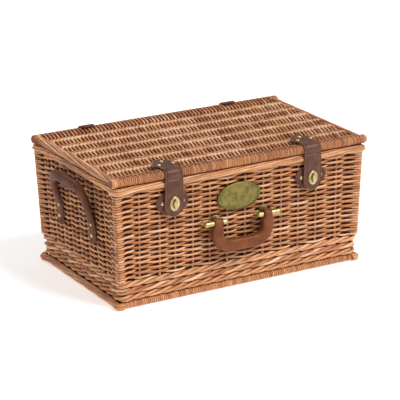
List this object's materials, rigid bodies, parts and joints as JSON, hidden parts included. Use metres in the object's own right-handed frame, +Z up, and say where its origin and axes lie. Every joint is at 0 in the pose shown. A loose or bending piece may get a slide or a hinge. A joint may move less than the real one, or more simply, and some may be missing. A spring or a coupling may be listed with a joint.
{
  "type": "wicker picnic basket",
  "caption": "Rectangular willow picnic hamper with a hinged woven lid, leather straps on brass turn locks, a swinging leather front handle and leather side handles.",
  "frame": {"origin": "centre of the footprint on the plane the basket stands on, midway along the length and midway between the lid's front and back rims", "axes": "+X along the length, to the right as seen from the front; +Y to the back, where the lid hinges; +Z up"},
  "size_m": [0.498, 0.3015, 0.2207],
  "materials": {
    "willow_weave": "satin, varnished buff willow, each rod a slightly different warm orange tan",
    "willow_sticks": "satin, round willow sticks with cut ends",
    "brown_leather": "smooth brown strap leather with burnished edges",
    "tan_leather": "moulded orange-brown leather, semi-gloss",
    "brass": "polished pale brass",
    "antique_brass": "brushed olive-gold antique brass"
  },
  "bodies": {
    "basket": {"back_stakes": "willow_sticks", "back_weave": "willow_weave", "base_back_rail": "willow_weave", "base_end_ropes": "willow_weave", "base_front_rail": "willow_weave", "base_sticks": "willow_sticks", "base_weave": "willow_weave", "bottom_wale": "willow_weave", "bracket_rivets": "brass", "corner_posts": "willow_weave", "front_stakes": "willow_sticks", "front_weave": "willow_weave", "handle_pins": "brass", "hinge_lower_rivets": "brass", "left_handle_bracket": "brass", "left_hinge_lower": "brown_leather", "left_lock_plate": "brass", "left_lock_tab": "brown_leather", "left_side_handle_ends": "brown_leather", "left_stakes": "willow_sticks", "left_weave": "willow_weave", "lock_tab_rivets": "brass", "nameplate": "antique_brass", "right_handle_bracket": "brass", "right_hinge_lower": "brown_leather", "right_lock_plate": "brass", "right_lock_tab": "brown_leather", "right_side_handle_ends": "brown_leather", "right_stakes": "willow_sticks", "right_weave": "willow_weave", "side_handle_rivets": "brass", "side_handle_washers": "brass", "top_border": "willow_weave"},
    "lid": {"lid_weave": "willow_weave", "lid_sticks": "willow_sticks", "lid_front_rim": "willow_weave", "lid_back_rim": "willow_weave", "lid_end_bands": "willow_weave", "left_strap_top": "brown_leather", "right_strap_top": "brown_leather", "strap_rivets": "brass", "left_hinge_upper": "brown_leather", "right_hinge_upper": "brown_leather", "hinge_upper_rivets": "brass"},
    "left_strap": {"left_strap": "brown_leather", "left_eyelet": "brass"},
    "right_strap": {"right_strap": "brown_leather", "right_eyelet": "brass"},
    "left_knob": {"left_knob": "brass"},
    "right_knob": {"right_knob": "brass"},
    "front_handle": {"front_handle": "tan_leather"},
    "left_side_handle": {"left_side_handle": "brown_leather"},
    "right_side_handle": {"right_side_handle": "brown_leather"}
  },
  "joints": [
    {"name": "lid_open", "type": "hinge", "parent": "basket", "child": "lid", "pos_m": [0, 0.1427, 0.201], "axis": [-1, 0, 0], "range_deg": [0, 105]},
    {"name": "left_strap_swing", "type": "hinge", "parent": "lid", "child": "left_strap", "pos_m": [-0.128, -0.143, 0.2025], "axis": [-1, 0, 0], "range_deg": [0, 110]},
    {"name": "right_strap_swing", "type": "hinge", "parent": "lid", "child": "right_strap", "pos_m": [0.128, -0.143, 0.2025], "axis": [-1, 0, 0], "range_deg": [0, 110]},
    {"name": "left_knob_turn", "type": "hinge", "parent": "basket", "child": "left_knob", "pos_m": [-0.128, -0.1464, 0.1625], "axis": [0, -1, 0], "range_deg": [0, 90]},
    {"name": "right_knob_turn", "type": "hinge", "parent": "basket", "child": "right_knob", "pos_m": [0.128, -0.1464, 0.1625], "axis": [0, -1, 0], "range_deg": [0, 90]},
    {"name": "front_handle_swing", "type": "hinge", "parent": "basket", "child": "front_handle", "pos_m": [-0.007, -0.148, 0.1185], "axis": [-1, 0, 0], "range_deg": [0, 170]},
    {"name": "left_side_handle_flex", "type": "hinge", "parent": "basket", "child": "left_side_handle", "pos_m": [-0.2269, 0, 0.128], "axis": [0, -1, 0], "range_deg": [0, 50], "stiffness_Nm_per_rad": 0.15, "springref_deg": -5.73},
    {"name": "right_side_handle_flex", "type": "hinge", "parent": "basket", "child": "right_side_handle", "pos_m": [0.2269, 0, 0.128], "axis": [0, 1, 0], "range_deg": [0, 50], "stiffness_Nm_per_rad": 0.15, "springref_deg": -5.73}
  ]
}
